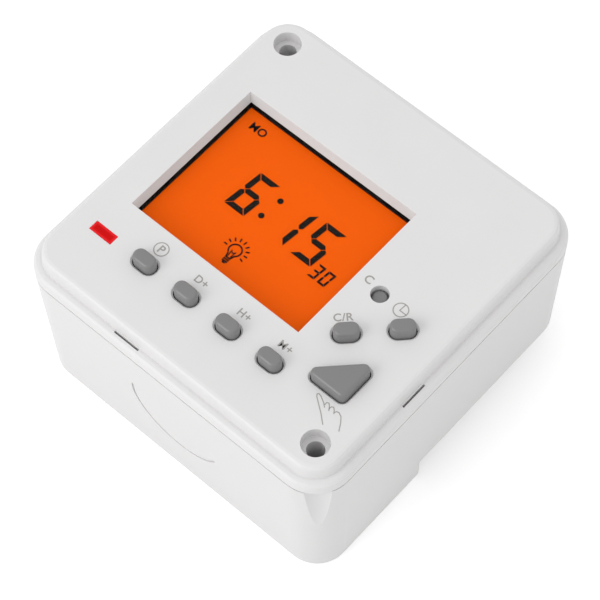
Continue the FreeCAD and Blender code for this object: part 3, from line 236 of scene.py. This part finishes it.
def stroke(points, width, closed=False):
    """A line of even width through the points, as quads with mitred corners."""
    spots = [Vector(p) for p in points]
    count = len(spots)
    offsets = []
    for index, spot in enumerate(spots):
        before = spots[index - 1] if closed or index else spot
        after = spots[(index + 1) % count] if closed or index < count - 1 else spot
        ways = [(b - a).normalized() for a, b in ((before, spot), (spot, after)) if (b - a).length]
        normals = [Vector((-way.y, way.x)) for way in ways]
        middle = sum(normals, Vector((0, 0))).normalized()
        offsets.append(middle * width / 2 / max(middle.dot(normals[0]), SHARPEST))
    quads = []
    for index in range(count if closed else count - 1):
        after = (index + 1) % count
        quads.append([spots[index] - offsets[index], spots[after] - offsets[after],
                      spots[after] + offsets[after], spots[index] + offsets[index]])
    return quads


def disc(x, y, radius, steps=24):
    """The outline of a disc."""
    turns = [2 * math.pi * step / steps for step in range(steps)]
    return [(x + radius * math.cos(t), y + radius * math.sin(t)) for t in turns]


def ring(x, y, radius, width):
    """A circle drawn with a line of even width."""
    return stroke(disc(x, y, radius, steps=40), width, closed=True)


def turned(outlines, x, y, angle=0):
    """Outlines turned by an angle in degrees and moved to a spot."""
    c, s = math.cos(math.radians(angle)), math.sin(math.radians(angle))
    return [[(x + u * c - v * s, y + u * s + v * c) for u, v in outline] for outline in outlines]


def rounded(centres, radius, steps=6):
    """An outline of arcs about centres, taken anticlockwise, joined by straight lines."""
    points = []
    for index, centre in enumerate(centres):
        before, after = centres[index - 1], centres[(index + 1) % len(centres)]
        start = math.atan2(centre[1] - before[1], centre[0] - before[0]) - math.pi / 2
        end = math.atan2(after[1] - centre[1], after[0] - centre[0]) - math.pi / 2
        sweep = (end - start) % (2 * math.pi)
        for step in range(steps + 1):
            angle = start + sweep * step / steps
            points.append((centre[0] + radius * math.cos(angle), centre[1] + radius * math.sin(angle)))
    return points


# Meshes --------------------------------------------------------------------------------------

def bridge(build, first, second):
    """Joins two loops of as many points with quads."""
    for index in range(len(first)):
        after = (index + 1) % len(first)
        build.faces.new((first[index], first[after], second[after], second[index]))


def stack(build, levels):
    """Outlines in millimetres at heights in metres, joined one after another."""
    loops = [[build.verts.new((x * MM, y * MM, height)) for x, y in outline]
             for outline, height in levels]
    for first, second in zip(loops, loops[1:]):
        bridge(build, first, second)
    return loops


def moulded(build, name):
    """An object made of the finished mesh, with its faces turned outwards."""
    bmesh.ops.recalc_face_normals(build, faces=build.faces[:])
    mesh = bpy.data.meshes.new(name)
    build.to_mesh(mesh)
    build.free()
    return bpy.data.objects.new(name, mesh)


def mount(thing, slot, body="module", material=None):
    """Puts a finished piece on a body."""
    bpy.context.scene.collection.objects.link(thing)
    thing.data.materials.clear()
    thing.data.materials.append(material or finishes[slot])
    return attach(thing, body)


# Keys and the bevels round their holes -------------------------------------------------------

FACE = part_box("front_bezel")[1].z
LONG_KEYS = {"program": 0, "day": 0, "hour": 0, "minute": 0, "clear": 45, "clock": 45}
KEY_HALF = (2.4, 1.65)
KEY_CORNER = 1.6
MANUAL_LEG = 7.4
MANUAL_CORNER = 1.3
KEY_RIM = 0.6
RIM_THICKNESS = 0.8
STEM = 3
PLATE = 2
BEVEL_WIDTH = 0.28
BEVEL_DEPTH = 0.3
BEVEL_GAP = 0.005
CAP_GAP = 0.45
CAP_EDGE = 0.5
EDGE_STEPS = 6


def middle_of(node):
    """The middle of a node seen from above, in millimetres."""
    low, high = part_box(node)
    return (low.x + high.x) / 2 / MM, (low.y + high.y) / 2 / MM


def bevel_ring(name, centres, radius):
    """A narrow sloping ring inside the edge of a hole in the face."""
    outer, inner = rounded(centres, radius - BEVEL_GAP), rounded(centres, radius - BEVEL_WIDTH)
    low = FACE - BEVEL_DEPTH * MM
    build = bmesh.new()
    loops = stack(build, [(outer, FACE), (inner, low), (outer, low)])
    bridge(build, loops[2], loops[0])
    return mount(moulded(build, name), "white_shell")


def key_cap(key, centres, radius):
    """A key with a softly rounded top edge, on the rim and stem of its CAD solid."""
    low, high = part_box("button_" + key)
    rim_top = FACE - PLATE * MM
    rim_low = rim_top - RIM_THICKNESS * MM
    rim, cap = rounded(centres, radius + KEY_RIM / 2), radius - CAP_GAP
    levels = [(rim, rim_low), (rim, rim_top), (rounded(centres, cap), rim_top)]
    for step in range(EDGE_STEPS + 1):
        angle = math.pi / 2 * step / EDGE_STEPS
        inset = CAP_EDGE * (1 - math.cos(angle))
        drop = CAP_EDGE * MM * (1 - math.sin(angle))
        levels.append((rounded(centres, cap - inset), high.z - drop))
    build = bmesh.new()
    loops = stack(build, levels)
    build.faces.new(loops[0])
    build.faces.new(loops[-1])
    for face in build.faces:
        face.smooth = True
    x, y = middle_of("plunger_" + key)
    half = STEM / 2
    square = [(x - half, y - half), (x + half, y - half), (x + half, y + half), (x - half, y + half)]
    for loop in stack(build, [(square, low.z), (square, rim_low)]):
        build.faces.new(loop)
    piece = mount(moulded(build, "key_cap_" + key), "key_grey", "key_" + key)
    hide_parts("button_" + key)


def dress_key(key, centres, radius):
    """A key's cap and the bevel round its hole, from the centres of their rounded corners."""
    bevel_ring("hole_edge_" + key, centres, radius)
    key_cap(key, centres, radius)


def long_key(key, angle):
    """The corner centres of a long key, turned about its middle."""
    x, y = (half - KEY_CORNER for half in KEY_HALF)
    centres = [(x, -y), (x, y), (-x, y), (-x, -y)]
    return turned([centres], *middle_of("button_" + key), angle)[0]


def triangular_key(key):
    """The corner centres of a key with two equal legs, from its lower right corner."""
    low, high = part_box("button_" + key)
    right = high.x / MM - KEY_RIM - MANUAL_CORNER
    foot = low.y / MM + KEY_RIM + MANUAL_CORNER
    reach = MANUAL_LEG - 2 * MANUAL_CORNER
    return [(right, foot), (right, foot + reach), (right - reach, foot)]


for key, angle in LONG_KEYS.items():
    dress_key(key, long_key(key, angle), KEY_CORNER)
dress_key("manual", triangular_key("manual"), MANUAL_CORNER)


# The latch's spring --------------------------------------------------------------------------

STRIP = 0.4
FOLDS = 6
BEND_STEPS = 8


def folded_spring():
    """A strip folded back and forth with round bends."""
    low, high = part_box("latch_spring")
    side, start, end = high.x / MM, low.y / MM, high.y / MM
    pitch = (end - start - STRIP) / FOLDS
    bend = pitch / 2
    reach = side - STRIP / 2 - bend
    spots = [(-side, start + STRIP / 2)]
    for fold in range(FOLDS):
        way = -1 if fold % 2 else 1
        centre = start + STRIP / 2 + (fold + 0.5) * pitch
        for step in range(BEND_STEPS + 1):
            turn = math.pi * (step / BEND_STEPS - 0.5)
            spots.append((way * (reach + bend * math.cos(turn)), centre + bend * math.sin(turn)))
    spots.append((side, end - STRIP / 2))
    lines = stroke(spots, STRIP)
    edge = [line[0] for line in lines] + lines[-1][1:3] + [line[3] for line in reversed(lines)]
    build = bmesh.new()
    for loop in stack(build, [(edge, low.z), (edge, high.z)]):
        for index in range(len(lines)):
            build.faces.new((loop[index], loop[index + 1], loop[-index - 2], loop[-index - 1]))
    piece = mount(moulded(build, "spring_strip"), slot_of("latch_spring"), "housing")
    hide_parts("latch_spring")
    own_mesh(piece)


folded_spring()


# Flat marks ----------------------------------------------------------------------------------

Layer = namedtuple("Layer", "level thickness material slot")
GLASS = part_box("lcd_panel")[1].z
PRINT = Layer(FACE, 0.02 * MM, ink, "key_grey")
DISPLAY = Layer(GLASS + 0.03 * MM, 0.06 * MM, segment_ink, "mask_black")
LETTER_SPACE = 1.05
LETTER_WEIGHT = 0.014


def plates(name, outlines, layer):
    """Thin plates with the given outlines, in millimetres."""
    build = bmesh.new()
    for outline in outlines:
        for loop in stack(build, [(outline, layer.level), (outline, layer.level + layer.thickness)]):
            build.faces.new(loop)
    return mount(moulded(build, name), layer.slot, material=layer.material)


def lettering(name, text, x, y, height, angle, layer):
    """Plain letters of a height, centred on a spot. Sizes are in millimetres."""
    words = bpy.data.curves.new(name + "_curve", "FONT")
    words.body = text
    words.size = 1
    words.extrude = 0.5
    words.space_character = LETTER_SPACE
    words.offset = LETTER_WEIGHT
    holder = bpy.data.objects.new(name + "_curve", words)
    bpy.context.scene.collection.objects.link(holder)
    bpy.context.view_layer.update()
    mesh = bpy.data.meshes.new_from_object(holder.evaluated_get(bpy.context.evaluated_depsgraph_get()))
    bpy.data.objects.remove(holder)
    corners = [vertex.co for vertex in mesh.vertices]
    low = Vector([min(c[axis] for c in corners) for axis in range(3)])
    high = Vector([max(c[axis] for c in corners) for axis in range(3)])
    scale = height * MM / (high.y - low.y)
    mesh.transform(Matrix.Translation(-(low + high) / 2))
    mesh.transform(Matrix.Diagonal((scale, scale, layer.thickness / (high.z - low.z), 1)))
    mesh.transform(Matrix.Rotation(math.radians(angle), 4, "Z"))
    mesh.transform(Matrix.Translation((x * MM, y * MM, layer.level + layer.thickness / 2)))
    return mount(bpy.data.objects.new(name, mesh), layer.slot, material=layer.material)


# Marks printed on the face, beside the keys --------------------------------------------------

CIRCLE = 1.14
CIRCLE_LINE = 0.16
HAND_LINE = 0.14

# For each key: the letters, the spot of their middle, their height and their turn in degrees
LEGENDS = {
    "program": ("P", -13.72, -15.35, 1.35, 0),
    "day": ("D+", -5.65, -15.45, 1.25, 0),
    "hour": ("H+", 2.8, -15.45, 1.25, 0),
    "minute": ("M+", 10.8, -15.45, 1.25, 0),
    "reset": ("C", 12.5, 0.9, 1.4, 0),
    "clear": ("C/R", 13.8, -6.3, 1.3, 45),
}
CLOCK_HANDS = [(0, 1.1), (-0.1, -0.15), (1.1, -0.15)]
INDEX_FINGER = [(23.0, -21.3), (21.6, -20.1), (20.5, -19.3), (19.4, -18.5), (19.15, -18.15),
                (19.35, -17.95), (19.8, -18.05), (20.8, -18.6), (21.4, -19.1)]
OTHER_FINGERS = [
    [(21.1, -18.75), (21.1, -18.3), (21.4, -18.15), (21.8, -18.5), (22.2, -19.1)],
    [(22.0, -18.8), (22.05, -18.35), (22.35, -18.2), (22.7, -18.5), (23.05, -19.0)],
    [(22.95, -18.8), (23.1, -18.45), (23.5, -18.35), (24.1, -18.65), (24.7, -19.4), (25.4, -20.6)],
]

for key, mark in LEGENDS.items():
    lettering("legend_" + key, *mark, PRINT)
plates("legend_program_ring", ring(-13.8, -15.35, CIRCLE, CIRCLE_LINE), PRINT)
clock_face = ring(0, 0, CIRCLE, CIRCLE_LINE) + stroke(CLOCK_HANDS, CIRCLE_LINE)
plates("legend_clock", turned(clock_face, 19.3, 0.05), PRINT)
fingers = [stroke(finger, HAND_LINE) for finger in [INDEX_FINGER] + OTHER_FINGERS]
plates("legend_hand", sum(fingers, []), PRINT)


# What the display shows ----------------------------------------------------------------------

DIGIT_WIDTH = 0.525
SEGMENT = 0.124
SEGMENT_GAP = 0.014
LEAN = 0.108
LARGE_DIGIT = 7.42
SMALL_DIGIT = 2.62
LARGE_FOOT = -1.98
SMALL_FOOT = -3.24
LAMP_RADIUS = 1.05
LAMP_LINE = 0.22
LAMP_CAP_LINE = 0.24
FILAMENT_LINE = 0.14
RAY_LINE = 0.2
RAY_START = 1.6
RAY_END = 2.2

LIT = {
    "0": ("top", "bottom", "upper_left", "lower_left", "upper_right", "lower_right"),
    "1": ("upper_right", "lower_right"),
    "3": ("top", "middle", "bottom", "upper_right", "lower_right"),
    "5": ("top", "upper_left", "middle", "lower_right", "bottom"),
    "6": ("top", "middle", "bottom", "upper_left", "lower_left", "lower_right"),
}


def segments():
    """The outlines of the seven segments of an upright digit that is one unit high."""
    w, t, g = DIGIT_WIDTH, SEGMENT, SEGMENT_GAP
    bar = [(g, 1), (w - g, 1), (w - t - g, 1 - t), (t + g, 1 - t)]
    side = [(0, 1 - g), (t, 1 - t - g), (t, 0.5 + t / 2 + g), (t / 2, 0.5 + g), (0, 0.5 + t / 2)]
    left = [(t + g, 0.5 - t / 2), (t / 2 + g, 0.5), (t + g, 0.5 + t / 2)]

    def flipped(outline):
        return [(u, 1 - v) for u, v in outline]

    def mirrored(outline):
        return [(w - u, v) for u, v in outline]

    return {
        "top": bar, "middle": left + mirrored(left)[::-1], "bottom": flipped(bar),
        "upper_left": side, "lower_left": flipped(side),
        "upper_right": mirrored(side), "lower_right": flipped(mirrored(side)),
    }


def digit(x, y, height, figure):
    """A slanted seven-segment digit with its lower left corner at a spot."""
    return [[(x + (u + LEAN * v) * height, y + v * height) for u, v in segments()[part]]
            for part in LIT[figure]]


def lamp_sign():
    """A lamp with its cap and rays, about the middle of its glass."""
    glass = [math.radians(angle) for angle in range(-55, 236, 15)]
    outlines = stroke([(LAMP_RADIUS * math.cos(a), LAMP_RADIUS * math.sin(a)) for a in glass], LAMP_LINE)
    for side in (1, -1):
        outlines += stroke([(side * 0.6, -0.86), (side * 0.42, -1.5)], LAMP_LINE)
    for half, drop in ((0.5, 1.62), (0.5, 1.98), (0.5, 2.34), (0.28, 2.62)):
        outlines += stroke([(-half, -drop), (half, -drop)], LAMP_CAP_LINE)
    filament = [(-0.25, -1.4), (-0.35, -0.3), (0, -0.65), (0.35, -0.3), (0.25, -1.4)]
    outlines += stroke(filament, FILAMENT_LINE)
    for angle in range(-20, 201, 25):
        c, s = math.cos(math.radians(angle)), math.sin(math.radians(angle))
        outlines += stroke([(RAY_START * c, RAY_START * s), (RAY_END * c, RAY_END * s)], RAY_LINE)
    return outlines


plates("display_hours", digit(-13.72, LARGE_FOOT, LARGE_DIGIT, "6"), DISPLAY)
plates("display_colon", [disc(-7.36, 3.62, 0.48), disc(-7.86, -0.12, 0.48)], DISPLAY)
plates("display_minutes", digit(-5.95, LARGE_FOOT, LARGE_DIGIT, "1")
       + digit(-0.45, LARGE_FOOT, LARGE_DIGIT, "5"), DISPLAY)
plates("display_seconds", digit(3.9, SMALL_FOOT, SMALL_DIGIT, "3")
       + digit(5.85, SMALL_FOOT, SMALL_DIGIT, "0"), DISPLAY)
lettering("display_weekday", "MO", -18.3, 10.88, 1.4, 0, DISPLAY)
plates("display_lamp_sign", turned(lamp_sign(), -6.75, -7.15), DISPLAY)


# Stage, light and camera ---------------------------------------------------------------------

FLOOR_HALF = 2
LIGHT_SPOT = Vector((-0.25, -0.70, 0.50))
LIGHT_AIM = Vector((0, 0, 0.016))
LIGHT_SIZE = 0.6
LIGHT_POWER = 2.3
SKY = 0.9
CAMERA_SPOT = Vector((129.157, -139.369, 354.522)) * MM
CAMERA_AIM = Vector((1.053, -1.723, 16.2)) * MM
CAMERA_ROLL = -1.59
FOCAL_LENGTH = 152.25
SENSOR = 36


def show_white(material, strength):
    """Lifts a floor towards white where it is seen, and clears it where it is seen from below."""
    tree = material.node_tree
    inputs = tree.nodes["Principled BSDF"].inputs
    inputs["Emission Color"].default_value = (1, 1, 1, 1)
    path = tree.nodes.new("ShaderNodeLightPath")
    seen = path.outputs["Is Camera Ray"]
    for ray in ("Is Glossy Ray", "Is Transmission Ray"):
        seen = calculated(tree, "ADD", seen, path.outputs[ray])
    tree.links.new(calculated(tree, "MULTIPLY", seen, strength), inputs["Emission Strength"])
    side = tree.nodes.new("ShaderNodeNewGeometry")
    front = calculated(tree, "SUBTRACT", 1, side.outputs["Backfacing"])
    tree.links.new(front, inputs["Alpha"])


def make_floor():
    """A plain white floor that keeps the object's shadow."""
    build = bmesh.new()
    bmesh.ops.create_grid(build, x_segments=8, y_segments=8, size=FLOOR_HALF)
    mesh = bpy.data.meshes.new("floor")
    build.to_mesh(mesh)
    build.free()
    floor = bpy.data.objects.new("floor", mesh)
    bpy.context.scene.collection.objects.link(floor)
    white = finish("floor_white", (228, 228, 228), 0.9, grain=40, bump=0, shift=0)
    show_white(white, 0.4)
    mesh.materials.append(white)


def make_world():
    """An even white sky."""
    world = bpy.data.worlds.new("studio")
    world.use_nodes = True
    background = world.node_tree.nodes["Background"]
    background.inputs["Color"].default_value = (1, 1, 1, 1)
    background.inputs["Strength"].default_value = SKY
    bpy.context.scene.world = world


def make_light():
    """A large soft lamp in front of the object, up and to the left."""
    light = bpy.data.lights.new("key", "AREA")
    light.shape = "DISK"
    light.size = LIGHT_SIZE
    light.energy = LIGHT_POWER
    holder = bpy.data.objects.new("key", light)
    bpy.context.scene.collection.objects.link(holder)
    holder.location = LIGHT_SPOT
    holder.rotation_euler = (LIGHT_AIM - LIGHT_SPOT).to_track_quat("-Z", "Y").to_euler()


def make_camera():
    """The photograph's view, from above and to the right."""
    camera = bpy.data.cameras.new("camera")
    camera.lens = FOCAL_LENGTH
    camera.sensor_width = SENSOR
    camera.clip_start = 0.01
    holder = bpy.data.objects.new("camera", camera)
    bpy.context.scene.collection.objects.link(holder)
    holder.location = CAMERA_SPOT
    turn = (CAMERA_AIM - CAMERA_SPOT).to_track_quat("-Z", "Y").to_matrix()
    holder.rotation_euler = (turn @ Matrix.Rotation(math.radians(CAMERA_ROLL), 3, "Z")).to_euler()
    bpy.context.scene.camera = holder


make_floor()
make_world()
make_camera()
make_light()
bpy.context.scene.view_settings.view_transform = "Standard"
